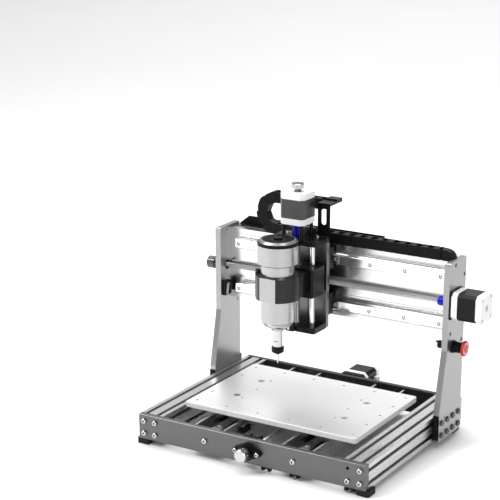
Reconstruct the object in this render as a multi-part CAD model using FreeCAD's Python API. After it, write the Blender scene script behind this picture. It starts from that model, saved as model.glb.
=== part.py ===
import FreeCAD, Part
import math
import os

# Desktop CNC router: fixed gantry, moving bed, hanging spindle.
# Millimetres, +X right along the front plate, +Y to the rear, +Z up, z = 0 is the table top.
# The rest state has the carriage left of the middle and the bed near the middle of its travel.

# ---------------------------------------------------------------- driving dimensions
BASE_W = 396.0          # base width over the side profiles
BASE_Z0 = 9.5           # underside of the base above the table (height of the rubber feet)
BASE_H = 40.0           # height of the end plates and of the 40 x 40 side profiles
PLATE_T = 8.7           # thickness of the front and rear plates
BASE_L = 323.0          # front face of the front plate to rear face of the rear plate
SCREW_P = 20.0          # pitch of the plate screws and of the profile slots

BED_W, BED_D, BED_T = 300.0, 205.0, 8.6
BED_Y0, BED_Z1 = 57.0, 60.7
RAIL_Y_X = 77.0         # bed rails left and right of the middle

UP_T = 9.8              # thickness of the uprights
UP_Y0, UP_Y1, UP_Y2 = 218.5, 238.0, 296.0    # front edge low and high, rear edge
UP_FOOT_Y, UP_FOOT_Z = 300.5, 58.5           # the rear edge steps out over the foot
UP_Z_BEND0, UP_Z_BEND1, UP_TOP = 60.0, 152.5, 290.0

BEAM_Y0, BEAM_D = 267.0, 30.0
BEAM_Z0, BEAM_Z1 = 168.5, 286.0
RAIL_Z = (189.9, 264.7)  # heights of the two beam rails
RAIL_W, RAIL_H, RAIL_PITCH = 15.0, 15.0, 60.0

SCREW_Y, SCREW_Z = 258.6, 224.8      # axis of the X screw
YSCREW_Z = 29.5                      # axis of the Y screw (x = 0)
SCREW_R = 4.0                        # 8 mm lead screws
FIT = 0.05                           # radial running clearance of screws, rods and shafts

CAR_X = -38.8           # middle of the carriage in the rest state
CAR_W = 82.0
CAR_Y0, CAR_Y1 = 231.0, 239.0
ZAX_Y = 210.0           # plane of the Z screw and the two rods
ROD_X, ROD_R = 26.8, 4.0
SPIN_Y = 151.0          # spindle axis

MOT = 42.3              # motor flange size
MOT_CAP, MOT_BODY = 9.5, 30.0

CHAIN_H, CHAIN_W, CHAIN_R = 17.0, 16.0, 26.0   # link height, link width, bend radius
CHAIN_Y0 = 262.5
CHAIN_Z0 = 286.3
CHAIN_BEND_X = -110.0   # centre of the bend in the rest state

# Shift from the drawing frame above to the part frame (middle of the bounding box).
SHIFT = FreeCAD.Vector(-13.65, -179.0, 0.0)

V = FreeCAD.Vector
X, Y, Z = V(1, 0, 0), V(0, 1, 0), V(0, 0, 1)
os.makedirs("parts", exist_ok=True)


# ---------------------------------------------------------------- small helpers
def box(x0, x1, y0, y1, z0, z1):
    return Part.makeBox(x1 - x0, y1 - y0, z1 - z0, V(x0, y0, z0))


def cyl(r, h, base, axis):
    return Part.makeCylinder(r, h, V(*base), axis)


def cone(r0, r1, h, base, axis):
    return Part.makeCone(r0, r1, h, V(*base), axis)


def prism(points, direction):
    wire = Part.makePolygon([V(*p) for p in points] + [V(*points[0])])
    return Part.Face(wire).extrude(direction)


def yz_prism(points, x0, x1):
    return prism([(x0, y, z) for y, z in points], V(x1 - x0, 0, 0))


def xz_prism(points, y0, y1):
    return prism([(x, y0, z) for x, z in points], V(0, y1 - y0, 0))


def xy_prism(points, z0, z1):
    return prism([(x, y, z0) for x, y in points], V(0, 0, z1 - z0))


def hexagon(r, h, base, axis):
    ref = Z if abs(axis.z) < 0.5 else X
    side = axis.cross(ref)
    ring = []
    for k in range(6):
        a = math.radians(60 * k)
        ring.append(V(*base) + ref * (r * math.cos(a)) + side * (r * math.sin(a)))
    return Part.Face(Part.makePolygon(ring + [ring[0]])).extrude(axis * h)


def cap_screw(base, axis, head_r=4.2, head_h=3.2, shank_r=2.4, shank_l=9.0):
    # Button-head screw: base is the seat under the head, axis points out of the part.
    seat = V(*base)
    head = Part.makeCylinder(head_r, head_h, seat, axis)
    head = chamfer_rim(head, seat + axis * head_h, 0.7)
    head = head.cut(hexagon(1.75, 1.9, tuple(seat + axis * (head_h - 1.8)), axis))
    shank = Part.makeCylinder(shank_r, shank_l, seat - axis * shank_l, axis)
    return head.fuse(shank).removeSplitter()


def chamfer_rim(shape, point, size):
    edges = []
    for e in shape.Edges:
        curve = getattr(e, "Curve", None)
        if isinstance(curve, Part.Circle) and curve.Center.distanceToPoint(point) < 1e-3:
            edges.append(e)
    return shape.makeChamfer(size, edges) if edges else shape


def round_edges(shape, radius, keep):
    edges = [e for e in shape.Edges if keep(e)]
    return shape.makeFillet(radius, edges) if edges else shape


def group(shapes):
    return Part.makeCompound(shapes)


NODES = []


def out(name, shape):
    NODES.append(name)
    moved = shape.copy()
    moved.translate(SHIFT)
    moved.exportStep("parts/" + name + ".step")


def is_line_along(e, axis):
    if not isinstance(e.Curve, Part.Line):
        return False
    d = e.valueAt(e.LastParameter) - e.valueAt(e.FirstParameter)
    return d.Length > 1e-6 and abs(abs(d.normalize().dot(axis)) - 1) < 1e-6


# ---------------------------------------------------------------- base frame
SIDE_Y0 = PLATE_T
SIDE_Y1 = BASE_L - PLATE_T
BASE_Z1 = BASE_Z0 + BASE_H
HALF = BASE_W / 2
PLATE_HOLES = [(sx * (HALF - d), BASE_Z0 + h) for sx in (-1, 1) for d in (10, 30) for h in (10, 30)]
MISSING = (HALF - 30, BASE_Z0 + 30)          # the one open hole of the front plate
MID_HOLES = [(-RAIL_Y_X, YSCREW_Z), (RAIL_Y_X, YSCREW_Z)]
FLANGE_SCREW_X = 19.0


def end_plate(y0):
    plate = box(-HALF, HALF, y0, y0 + PLATE_T, BASE_Z0, BASE_Z1)
    plate = plate.makeChamfer(0.6, plate.Edges)
    for x, z in PLATE_HOLES + MID_HOLES:
        plate = plate.cut(cyl(2.6, PLATE_T + 2, (x, y0 - 1, z), Y))
    return plate


def front_plate():
    plate = end_plate(0.0)
    plate = plate.cut(cyl(7.0, PLATE_T + 2, (0, -1, YSCREW_Z), Y))
    for s in (-1, 1):
        plate = plate.cut(cyl(2.2, PLATE_T + 2, (s * FLANGE_SCREW_X, -1, YSCREW_Z), Y))
    return plate


def rear_plate():
    plate = end_plate(BASE_L - PLATE_T)
    plate = plate.cut(cyl(11.2, PLATE_T + 2, (0, BASE_L - PLATE_T - 1, YSCREW_Z), Y))
    for sx in (-1, 1):
        for sz in (-1, 1):
            hole = cyl(1.7, PLATE_T + 2, (sx * 15.5, BASE_L - PLATE_T - 1, YSCREW_Z + sz * 15.5), Y)
            plate = plate.cut(hole)
    return plate


SLOT_W, SLOT_LIP = 6.2, 2.2          # mouth of a profile slot
SLOT_ROOM_W, SLOT_DEPTH = 8.8, 4.4   # wider room behind the mouth
SCREW_BORE_R = 2.6


def profile_slot(x, z, dx, dz):
    # One T-slot running along Y; (dx, dz) points from the outer face into the profile.
    ax, az = abs(dz), abs(dx)
    slot = None
    for width, start, stop in ((SLOT_W, 0.0, SLOT_LIP), (SLOT_ROOM_W, SLOT_LIP - 0.2, SLOT_DEPTH)):
        xa, xb = sorted((x + dx * start - ax * width / 2, x + dx * stop + ax * width / 2))
        za, zb = sorted((z + dz * start - az * width / 2, z + dz * stop + az * width / 2))
        room = box(xa, xb, SIDE_Y0, SIDE_Y1, za, zb)
        slot = room if slot is None else slot.fuse(room)
    return slot


def side_profile(side):
    # 40 x 40 extrusion with two slots on every face, four screw bores and a middle bore.
    x0 = -HALF if side < 0 else HALF - BASE_H
    x1 = x0 + BASE_H
    p = box(x0, x1, SIDE_Y0, SIDE_Y1, BASE_Z0, BASE_Z1)
    for d in (SCREW_P / 2, 3 * SCREW_P / 2):
        p = p.cut(profile_slot(x0 + d, BASE_Z0, 0, 1))
        p = p.cut(profile_slot(x0 + d, BASE_Z1, 0, -1))
        p = p.cut(profile_slot(x0, BASE_Z0 + d, 1, 0))
        p = p.cut(profile_slot(x1, BASE_Z0 + d, -1, 0))
        for h in (SCREW_P / 2, 3 * SCREW_P / 2):
            p = p.cut(cyl(SCREW_BORE_R, SIDE_Y1 - SIDE_Y0, (x0 + d, SIDE_Y0, BASE_Z0 + h), Y))
    core = 4.5
    xm, zm = (x0 + x1) / 2, (BASE_Z0 + BASE_Z1) / 2
    return p.cut(box(xm - core, xm + core, SIDE_Y0, SIDE_Y1, zm - core, zm + core))


SUP_W, SUP_Z0, SUP_FLOOR, SUP_TOP = 54.0, 19.5, 24.1, 46.5
RAIL_Y0, RAIL_Y1 = 12.2, 310.8
BED_RAIL_HOLES = [41.5 + RAIL_PITCH * k for k in range(5)]


def support_channel(side):
    # U-shaped extrusion that carries one bed rail on its floor.
    cx = side * RAIL_Y_X
    x0, x1 = cx - SUP_W / 2, cx + SUP_W / 2
    c = box(x0, x1, SIDE_Y0, SIDE_Y1, SUP_Z0, SUP_TOP)
    c = c.cut(box(x0 + 3.0, x1 - 3.0, SIDE_Y0, SIDE_Y1, SUP_FLOOR, SUP_TOP))
    # End lugs take the middle screws of the end plates.
    for y0, y1 in ((SIDE_Y0, SIDE_Y0 + 3.0), (SIDE_Y1 - 3.0, SIDE_Y1)):
        c = c.fuse(box(cx - 7, cx + 7, y0, y1, SUP_FLOOR, SUP_FLOOR + 11.0))
        c = c.cut(cyl(2.6, 5.0, (cx, y0 - 1, YSCREW_Z), Y))
    return c.removeSplitter()


def bed_rail(side):
    cx = side * RAIL_Y_X
    pts = [(-7.5, 0), (7.5, 0), (7.5, 4), (5.6, 6), (5.6, 9), (7.5, 11), (7.5, 14), (6.5, 15),
           (-6.5, 15), (-7.5, 14), (-7.5, 11), (-5.6, 9), (-5.6, 6), (-7.5, 4)]
    rail = xz_prism([(cx + px, SUP_FLOOR + pz) for px, pz in pts], RAIL_Y0, RAIL_Y1)
    for y in BED_RAIL_HOLES:
        rail = rail.cut(cyl(2.3, 20, (cx, y, SUP_FLOOR - 1), Z))
        rail = rail.cut(cyl(3.8, 6, (cx, y, SUP_FLOOR + RAIL_H - 5.3), Z))
    return rail


FOOT_W, FOOT_OUT = 21.0, 4.5         # foot width; how far it stands out past the side profile
FOOT_Y = (0.8, BASE_L - 36.0)        # front faces of the front and rear feet


def rubber_feet():
    # Square rubber blocks with rounded corners, a little narrower at the table.
    feet = []
    for side in (-1, 1):
        xa, xb = sorted((side * (HALF + FOOT_OUT), side * (HALF + FOOT_OUT - FOOT_W)))
        for y in FOOT_Y:
            foot = box(xa, xb, y, y + FOOT_W + 2.0, 0.0, BASE_Z0)
            foot = round_edges(foot, 3.0, lambda e: is_line_along(e, Z))
            rim = [e for e in foot.Edges if e.BoundBox.ZMax < 0.01]
            feet.append(foot.makeChamfer(0.8, rim))
    return group(feet)


CLIP_X, CLIP_W = (30.0, 79.0, 170.7), 15.6


def edge_clips():
    # Three two-pronged clips that hook under the lower edge of the front plate.
    clips = []
    for cx in CLIP_X:
        bar = box(cx - CLIP_W / 2, cx + CLIP_W / 2, 0.6, 6.6, BASE_Z0 - 2.0, BASE_Z0)
        for s in (-1, 1):
            xm = cx + s * (CLIP_W / 2 - 2.2)
            bar = bar.fuse(box(xm - 2.2, xm + 2.2, 0.6, 6.6, BASE_Z0 - 5.6, BASE_Z0 - 1.5))
        clips.append(bar.removeSplitter())
    return group(clips)


def plate_screws():
    screws = []
    for x, z in PLATE_HOLES:
        if (x, z) != MISSING:
            screws.append(cap_screw((x, 0, z), V(0, -1, 0), shank_l=22))
        screws.append(cap_screw((x, BASE_L, z), V(0, 1, 0), shank_l=22))
    for x, z in MID_HOLES:
        screws.append(cap_screw((x, 0, z), V(0, -1, 0), shank_l=11.4))
        screws.append(cap_screw((x, BASE_L, z), V(0, 1, 0), shank_l=11.4))
    return group(screws)


# ---------------------------------------------------------------- uprights
SIDE_SCREWS = [(y, z) for y in (228.0, 248.0, 268.0, 288.0) for z in (19.5, 39.5)]
# Flush screws on the outer face, and those among them that reach the beam.
SMALL_SCREWS = [(257.5, 284.0), (290.8, 263.0), (246.7, 178.4), (288.5, 158.2)]
BEAM_SCREWS = [(290.8, 263.0), (275.0, 227.0)]
ESTOP_Y, ESTOP_Z = 259.0, 155.0


def upright(side):
    pts = [(UP_Y0 + 3, BASE_Z0), (UP_FOOT_Y - 14.0, BASE_Z0), (UP_FOOT_Y - 5.5, BASE_Z0 + 3.0),
           (UP_FOOT_Y - 1.5, BASE_Z0 + 7.5), (UP_FOOT_Y, BASE_Z0 + 13.0), (UP_FOOT_Y, UP_FOOT_Z),
           (UP_Y2, UP_FOOT_Z + 2.5), (UP_Y2, UP_TOP), (UP_Y1 + 3.5, UP_TOP),
           (UP_Y1 + 1.2, UP_TOP - 1.0), (UP_Y1, UP_TOP - 4.0),
           (UP_Y1, UP_Z_BEND1), (UP_Y0, UP_Z_BEND0), (UP_Y0, BASE_Z0 + 3)]
    x0 = HALF + 0.8
    x1 = x0 + UP_T
    if side < 0:
        x0, x1 = -x1, -x0
    plate = yz_prism(pts, x0, x1)
    # A thin pad carries the plate against the side profile and, higher up, against the beam end.
    if side > 0:
        plate = plate.fuse(box(HALF, x0, UP_Y0 + 2, UP_Y2 - 8, BASE_Z0 + 2, BASE_Z1 - 1))
    else:
        plate = plate.fuse(box(x1, -HALF, UP_Y0 + 2, UP_Y2 - 8, BASE_Z0 + 2, BASE_Z1 - 1))
    plate = plate.removeSplitter()
    for y, z in SIDE_SCREWS:
        plate = plate.cut(cyl(2.6, 20, (side * HALF - 5 * side, y, z), V(side, 0, 0)))
    for y, z in set(SMALL_SCREWS + BEAM_SCREWS):
        plate = plate.cut(cyl(2.2, 20, (side * HALF - 5 * side, y, z), V(side, 0, 0)))
        plate = plate.cut(cyl(3.4, 3.0, (side * (HALF + 0.8 + UP_T), y, z), V(-side, 0, 0)))
    bore = 11.0 if side > 0 else 8.0
    plate = plate.cut(cyl(bore, 20, (side * HALF - 5 * side, SCREW_Y, SCREW_Z), V(side, 0, 0)))
    if side > 0:
        plate = plate.cut(cyl(8.0, 20, (HALF - 5, ESTOP_Y, ESTOP_Z), X))
        for sy in (-1, 1):
            for sz in (-1, 1):
                plate = plate.cut(cyl(1.7, 20, (HALF - 5, SCREW_Y + sy * 15.5, SCREW_Z + sz * 15.5), X))
    else:
        for z in (182.0, 194.0):
            plate = plate.cut(cyl(1.3, 20, (-HALF + 5, 254.5, z), V(-1, 0, 0)))
    return plate


def upright_screws():
    screws = []
    for side in (-1, 1):
        xf = side * (HALF + 0.8 + UP_T)
        for y, z in SIDE_SCREWS:
            screws.append(cap_screw((xf, y, z), V(side, 0, 0), 4.6, 3.0, 2.4, 13.0))
        for y, z in sorted(set(SMALL_SCREWS + BEAM_SCREWS)):
            length = 18.0 if (y, z) in BEAM_SCREWS else 6.5
            screws.append(cap_screw((xf - side * 3.0, y, z), V(side, 0, 0), 3.2, 2.6, 2.0, length))
    return group(screws)


def edge_strips():
    # Dark guard strips on the lower front edges of the uprights.
    strips = []
    for side in (-1, 1):
        x0 = HALF + 0.8
        a, b = (x0, x0 + UP_T) if side > 0 else (-x0 - UP_T, -x0)
        strip = box(a, b, UP_Y0 - 1.4, UP_Y0, BASE_Z0 + 4, BASE_Z1 + 3.5)
        strips.append(strip)
    return group(strips)


# ---------------------------------------------------------------- gantry beam and its rails
BEAM_X = HALF + 0.8
RAIL_X0, RAIL_X1 = -179.0, 194.0
RAIL_X_HOLES = [-172.8 + RAIL_PITCH * k for k in range(7)]


def gantry_beam():
    y0, y1 = BEAM_Y0, BEAM_Y0 + BEAM_D
    b = box(-BEAM_X, BEAM_X, y0, y1, BEAM_Z0, BEAM_Z1)
    length = 2 * BEAM_X
    for z in (BEAM_Z1 - 8.0, BEAM_Z0 + 8.0):
        b = b.cut(box(-BEAM_X, BEAM_X, y0, y0 + 0.8, z - 0.5, z + 0.5))
    b = b.cut(box(-BEAM_X, BEAM_X, y0, y0 + 1.0, 205.0, 246.0))
    for z in (182.0, 202.0, 227.0, 252.0, 272.0):
        b = b.cut(box(-BEAM_X, BEAM_X, y1 - 2.2, y1, z - 3.1, z + 3.1))
        b = b.cut(box(-BEAM_X, BEAM_X, y1 - 5.6, y1 - 2.0, z - 5.4, z + 5.4))
    b = b.cut(box(-BEAM_X, BEAM_X, 278.9, 285.1, BEAM_Z1 - 2.2, BEAM_Z1))
    b = b.cut(box(-BEAM_X, BEAM_X, 276.6, 287.4, BEAM_Z1 - 5.6, BEAM_Z1 - 2.0))
    for z0, z1 in ((208.0, 222.0), (232.0, 246.0)):
        b = b.cut(box(-BEAM_X, BEAM_X, y0 + 6, y1 - 9, z0, z1))
    for y, z in BEAM_SCREWS:
        b = b.cut(cyl(2.2, length, (-BEAM_X, y, z), X))
    for x in RAIL_X_HOLES:
        for z in RAIL_Z:
            b = b.cut(cyl(1.9, 9, (x, y0 - 1, z), Y))
    return b


def beam_rail(z):
    y0 = BEAM_Y0 - RAIL_H
    pts = [(0, -7.5), (0, 7.5), (-4, 7.5), (-6, 5.6), (-9, 5.6), (-11, 7.5), (-14, 7.5), (-15, 6.5),
           (-15, -6.5), (-14, -7.5), (-11, -7.5), (-9, -5.6), (-6, -5.6), (-4, -7.5)]
    rail = yz_prism([(BEAM_Y0 + a, z + b) for a, b in pts], RAIL_X0, RAIL_X1)
    for x in RAIL_X_HOLES:
        rail = rail.cut(cyl(2.3, 20, (x, y0 - 1, z), Y))
        rail = rail.cut(cyl(3.8, 5.3, (x, y0, z), Y))
    return rail


def beam_rail_screws():
    screws = []
    for z in RAIL_Z:
        for x in RAIL_X_HOLES:
            y = BEAM_Y0 - RAIL_H + 5.3
            s = cyl(3.3, 3.6, (x, y - 3.6, z), Y)
            s = s.cut(hexagon(1.6, 2.0, (x, y - 3.7, z), Y))
            s = s.fuse(cyl(1.8, 15.5, (x, y, z), Y))
            screws.append(s)
    return group(screws)


def bed_rail_screws():
    screws = []
    for side in (-1, 1):
        for y in BED_RAIL_HOLES:
            z = SUP_FLOOR + RAIL_H - 5.3
            s = cyl(3.3, 3.6, (side * RAIL_Y_X, y, z), Z)
            s = s.cut(hexagon(1.6, 2.0, (side * RAIL_Y_X, y, z + 1.7), Z))
            s = s.fuse(cyl(1.8, z - SUP_FLOOR, (side * RAIL_Y_X, y, SUP_FLOOR), Z))
            screws.append(s)
    return group(screws)


# ---------------------------------------------------------------- stepper motors
def octagon(h, c):
    return [(-h, -h + c), (-h + c, -h), (h - c, -h), (h, -h + c),
            (h, h - c), (h - c, h), (-h + c, h), (-h, h - c)]


def place(shape, origin, axis):
    # Shapes are drawn along +Z and turned onto the wanted axis.
    s = shape.copy()
    if axis == "x":
        s.rotate(V(0, 0, 0), V(0, 1, 0), 90)
    if axis == "y":
        s.rotate(V(0, 0, 0), V(1, 0, 0), -90)
    s.translate(V(*origin))
    return s


def motor_body(origin, axis):
    b = xy_prism(octagon(MOT / 2 - 0.15, 4.6), MOT_CAP, MOT_CAP + MOT_BODY)
    b = b.cut(cyl(2.5 + 0.25, MOT_BODY + 2, (0, 0, MOT_CAP - 1), Z))
    return place(b, origin, axis)


def motor_caps(origin, axis):
    # Front cap with boss and four threaded holes, rear cap with the shaft hole and the plug housing.
    front = xy_prism(octagon(MOT / 2, 5.6), 0, MOT_CAP)
    front = front.fuse(cyl(10.9, 2.0, (0, 0, -2.0), Z))
    front = front.cut(cyl(2.75, MOT_CAP + 6, (0, 0, -3), Z))
    for sx in (-1, 1):
        for sy in (-1, 1):
            front = front.cut(cyl(1.5, 5.0, (sx * 15.5, sy * 15.5, 0), Z))
    z0 = MOT_CAP + MOT_BODY
    rear = xy_prism(octagon(MOT / 2, 5.6), z0, z0 + MOT_CAP)
    rear = rear.cut(cyl(2.75, MOT_CAP + 2, (0, 0, z0 - 1), Z))
    rear = rear.cut(cyl(5.0, 1.2, (0, 0, z0 + MOT_CAP - 1.2), Z))
    for sx in (-1, 1):
        for sy in (-1, 1):
            rear = rear.cut(cyl(2.6, 3.0, (sx * 15.5, sy * 15.5, z0 + MOT_CAP - 3.0), Z))
    return group([place(front, origin, axis), place(rear, origin, axis)])


def motor_plug(origin, axis, direction):
    # White connector housing on the rear part of the motor body.
    z0 = MOT_CAP + MOT_BODY - 9.5
    h = MOT / 2 - 0.15
    dx, dy = direction
    if dx:
        a, b = (h, h + 6.5) if dx > 0 else (-h - 6.5, -h)
        plug = box(a, b, -8.2, 8.2, z0, z0 + 9.5)
        hollow = box(a + (0 if dx < 0 else 2.0), b - (0 if dx > 0 else 2.0), -7.0, 7.0, z0 + 1.2, z0 + 8.3)
    else:
        a, b = (h, h + 6.5) if dy > 0 else (-h - 6.5, -h)
        plug = box(-8.2, 8.2, a, b, z0, z0 + 9.5)
        hollow = box(-7.0, 7.0, a + (0 if dy < 0 else 2.0), b - (0 if dy > 0 else 2.0), z0 + 1.2, z0 + 8.3)
    return place(plug.cut(hollow), origin, axis)


XM0 = HALF + 0.8 + UP_T + 3.7       # X motor front face
YM0 = BASE_L + 10.0                 # Y motor front face
ZM0 = 328.0                         # Z motor front face


def x_motor_spacer():
    h = MOT / 2
    s = box(HALF + 0.8 + UP_T, XM0, SCREW_Y - h, SCREW_Y + h, SCREW_Z - h, SCREW_Z + h)
    s = s.cut(cyl(11.0, 5, (HALF + UP_T, SCREW_Y, SCREW_Z), X))
    for sy in (-1, 1):
        for sz in (-1, 1):
            s = s.cut(cyl(1.7, 6, (HALF + UP_T, SCREW_Y + sy * 15.5, SCREW_Z + sz * 15.5), X))
    return s


def y_motor_spacer():
    s = xz_prism([(a, YSCREW_Z + b) for a, b in octagon(MOT / 2, 4.0)], BASE_L, YM0)
    s = s.cut(cyl(11.0, 12, (0, BASE_L - 1, YSCREW_Z), Y))
    for sx in (-1, 1):
        for sz in (-1, 1):
            s = s.cut(cyl(1.7, 12, (sx * 15.5, BASE_L - 1, YSCREW_Z + sz * 15.5), Y))
    return s


# ---------------------------------------------------------------- lead screws, knobs, couplings
def knob(r, length, bore, hub):
    # Turned hand knob drawn along +Z: tapered hub, knurled rim, chamfered face.
    k = cyl(r, length - hub, (0, 0, hub), Z)
    k = chamfer_rim(k, V(0, 0, length), 0.9)
    k = k.fuse(cone(bore + 2.0, r - 1.6, hub, (0, 0, 0), Z))
    k = k.cut(cyl(bore, length - 2.0, (0, 0, -0.01), Z))
    cuts = []
    for i in range(24):
        a = math.radians(15 * i)
        flute = (r + 0.12) * math.cos(a), (r + 0.12) * math.sin(a), hub + 1.2
        cuts.append(cyl(0.55, length - hub - 2.5, flute, Z))
    return k.cut(cuts)


def flip_place(shape, origin, direction):
    s = shape.copy()
    if direction == "-x":
        s.rotate(V(0, 0, 0), V(0, 1, 0), -90)
    if direction == "-y":
        s.rotate(V(0, 0, 0), V(1, 0, 0), 90)
    if direction == "+x":
        s.rotate(V(0, 0, 0), V(0, 1, 0), 90)
    s.translate(V(*origin))
    return s


X_SCREW_END = 185.5                   # the motor shaft goes on from here
X_COUPLING_R, X_COUPLING_X0, X_COUPLING_X1 = 7.2, 182.5, 204.7


def x_lead_screw():
    x0 = -(HALF + 0.8 + UP_T) - 23.0
    shaft_end = XM0 + 2 * MOT_CAP + MOT_BODY - 1.5
    s = cyl(SCREW_R, X_SCREW_END - x0, (x0, SCREW_Y, SCREW_Z), X)
    s = s.fuse(cyl(2.5, shaft_end - X_SCREW_END, (X_SCREW_END, SCREW_Y, SCREW_Z), X))
    return s.removeSplitter()


def x_knob():
    x0 = -(HALF + 0.8 + UP_T)
    return flip_place(knob(10.0, 18.4, SCREW_R, 5.0), (x0 - 7.0, SCREW_Y, SCREW_Z), "-x")


def clamp_coupling(r, length, split):
    # Clamp coupling drawn along +Z: two bores, cross slots and clamp screws.
    c = cyl(r, length, (0, 0, 0), Z)
    c = chamfer_rim(c, V(0, 0, length), 0.6)
    c = chamfer_rim(c, V(0, 0, 0), 0.6)
    c = c.cut(cyl(SCREW_R, split + 0.01, (0, 0, -0.01), Z))
    c = c.cut(cyl(2.5, length, (0, 0, split - 0.02), Z))
    c = c.cut(box(0, r + 1, -0.5, 0.5, 0.8, 5.2))
    c = c.cut(box(0, r + 1, -0.5, 0.5, length - 5.2, length - 0.8))
    return c


def x_coupling():
    c = clamp_coupling(X_COUPLING_R, X_COUPLING_X1 - X_COUPLING_X0, X_SCREW_END - X_COUPLING_X0)
    return flip_place(c, (X_COUPLING_X0, SCREW_Y, SCREW_Z), "+x")


def y_lead_screw():
    s = cyl(SCREW_R, 312.0 + 22.0, (0, -22.0, YSCREW_Z), Y)
    s = s.fuse(cyl(2.5, YM0 + 2 * MOT_CAP + MOT_BODY - 1.5 - 312.0, (0, 312.0, YSCREW_Z), Y))
    return s.removeSplitter()


def y_knob():
    return flip_place(knob(10.0, 14.4, SCREW_R, 3.0), (0, -9.6, YSCREW_Z), "-y")


def y_coupling():
    # Grey rigid coupling between the Y screw and the motor shaft.
    c = clamp_coupling(8.0, 24.0, 12.0)
    s = c.copy()
    s.rotate(V(0, 0, 0), V(1, 0, 0), -90)
    s.translate(V(0, 300.0, YSCREW_Z))
    return s


Z_SCREW_TOP = 314.0                  # the motor shaft goes on from here
Z_COUPLING_R, Z_COUPLING_Z0, Z_COUPLING_Z1 = 7.6, 304.8, 325.4


def z_lead_screw():
    top = ZM0 + 2 * MOT_CAP + MOT_BODY + 10.2
    s = cyl(SCREW_R, Z_SCREW_TOP - 159.0, (CAR_X, ZAX_Y, 159.0), Z)
    s = s.fuse(cyl(2.5, top - Z_SCREW_TOP, (CAR_X, ZAX_Y, Z_SCREW_TOP), Z))
    return s.removeSplitter()


def z_knob():
    k = knob(10.0, 11.6, 2.5, 4.6)
    k.translate(V(CAR_X, ZAX_Y, ZM0 + 2 * MOT_CAP + MOT_BODY + 1.0))
    return k


def z_coupling():
    c = clamp_coupling(Z_COUPLING_R, Z_COUPLING_Z1 - Z_COUPLING_Z0, Z_SCREW_TOP - Z_COUPLING_Z0)
    c.translate(V(CAR_X, ZAX_Y, Z_COUPLING_Z0))
    return c


# ---------------------------------------------------------------- bearings and nuts on the frame
def y_bearing_flange():
    # Two-bolt flange bearing in front of the front plate.
    w, h, t = FLANGE_SCREW_X + 1.9, 13.6, 4.5
    outline = [(-w, YSCREW_Z - t), (0, YSCREW_Z - h), (w, YSCREW_Z - t),
               (w, YSCREW_Z + t), (0, YSCREW_Z + h), (-w, YSCREW_Z + t)]
    body = cyl(13.4, 5.5, (0, -5.5, YSCREW_Z), Y).fuse(xz_prism(outline, -5.5, 0.0))
    for s in (-1, 1):
        body = body.fuse(cyl(4.9, 5.5, (s * FLANGE_SCREW_X, -5.5, YSCREW_Z), Y))
    body = body.fuse(cyl(9.8, 3.2, (0, -8.7, YSCREW_Z), Y)).removeSplitter()
    body = body.cut(cyl(SCREW_R + FIT, 20, (0, -14, YSCREW_Z), Y))
    for s in (-1, 1):
        body = body.cut(cyl(2.3, 8, (s * FLANGE_SCREW_X, -7, YSCREW_Z), Y))
    return body


def y_flange_screws():
    screws = []
    for s in (-1, 1):
        screws.append(cap_screw((s * FLANGE_SCREW_X, -5.5, YSCREW_Z), V(0, -1, 0), 3.6, 3.0, 2.0, 18.0))
    return group(screws)


def y_thrust_block():
    # Black bearing block behind the front plate, its top just above the plate edge.
    b = box(-13.5, 13.5, PLATE_T, PLATE_T + 12.0, 15.5, 50.6)
    b = b.cut(cyl(SCREW_R + FIT, 14, (0, PLATE_T - 1, YSCREW_Z), Y))
    for s in (-1, 1):
        b = b.cut(cyl(2.2, 14, (s * FLANGE_SCREW_X, PLATE_T - 1, YSCREW_Z), Y))
    b = b.cut(box(-4.0, 4.0, PLATE_T + 2, PLATE_T + 12, 47.6, 50.6))
    return b


def x_screw_bearing():
    # Ball bearing pressed into the left upright.
    x0 = -(HALF + 0.8 + UP_T)
    b = cyl(8.0, 7.0, (x0 + 1.4, SCREW_Y, SCREW_Z), X)
    b = b.fuse(cyl(9.6, 1.2, (x0 - 1.2, SCREW_Y, SCREW_Z), X)).fuse(cyl(8.0, 1.5, (x0, SCREW_Y, SCREW_Z), X))
    b = b.cut(cyl(SCREW_R + FIT, 16, (x0 - 4, SCREW_Y, SCREW_Z), X))
    return b.removeSplitter()


# ---------------------------------------------------------------- emergency stop and switches
ESTOP_FACE = HALF + 0.8 + UP_T       # outer face of the right upright
NECK_END = 13.3                      # length of the fixed neck outside
HEAD_R, HEAD_X = 12.3, 17.6          # head radius; back of the head


def estop_housing():
    # Threaded neck through the right upright, collar outside, ring nut and round contact body inside.
    h = cyl(7.8, UP_T + 0.8 + 0.3, (HALF - 0.3, ESTOP_Y, ESTOP_Z), X)
    h = h.fuse(cone(10.2, 9.6, 3.0, (ESTOP_FACE, ESTOP_Y, ESTOP_Z), X))
    h = h.fuse(cyl(8.4, NECK_END - 2.8, (ESTOP_FACE + 2.8, ESTOP_Y, ESTOP_Z), X))
    h = h.cut(cyl(5.6, 22.0, (HALF + 4.0, ESTOP_Y, ESTOP_Z), X))
    h = h.cut(cyl(7.2, 20.0, (ESTOP_FACE + 3.3, ESTOP_Y, ESTOP_Z), X))
    body = cyl(6.2, 11.0, (HALF - 13.5, ESTOP_Y, ESTOP_Z), X)
    nut = cyl(9.4, 2.6, (HALF - 2.9, ESTOP_Y, ESTOP_Z), X)
    tab = box(HALF - 18.0, HALF - 13.3, ESTOP_Y - 2, ESTOP_Y + 2, ESTOP_Z + 2.6, ESTOP_Z + 4.6)
    return h.fuse(nut).fuse(body).fuse(tab).removeSplitter()


def estop_plunger():
    p = cyl(5.3, 9.2, (ESTOP_FACE - 1.0, ESTOP_Y, ESTOP_Z), X)
    p = p.fuse(cyl(6.9, HEAD_X - 0.6 - 8.0, (ESTOP_FACE + 8.0, ESTOP_Y, ESTOP_Z), X))
    return p.fuse(cyl(4.0, 3.2, (ESTOP_FACE + HEAD_X - 0.9, ESTOP_Y, ESTOP_Z), X)).removeSplitter()


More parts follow.
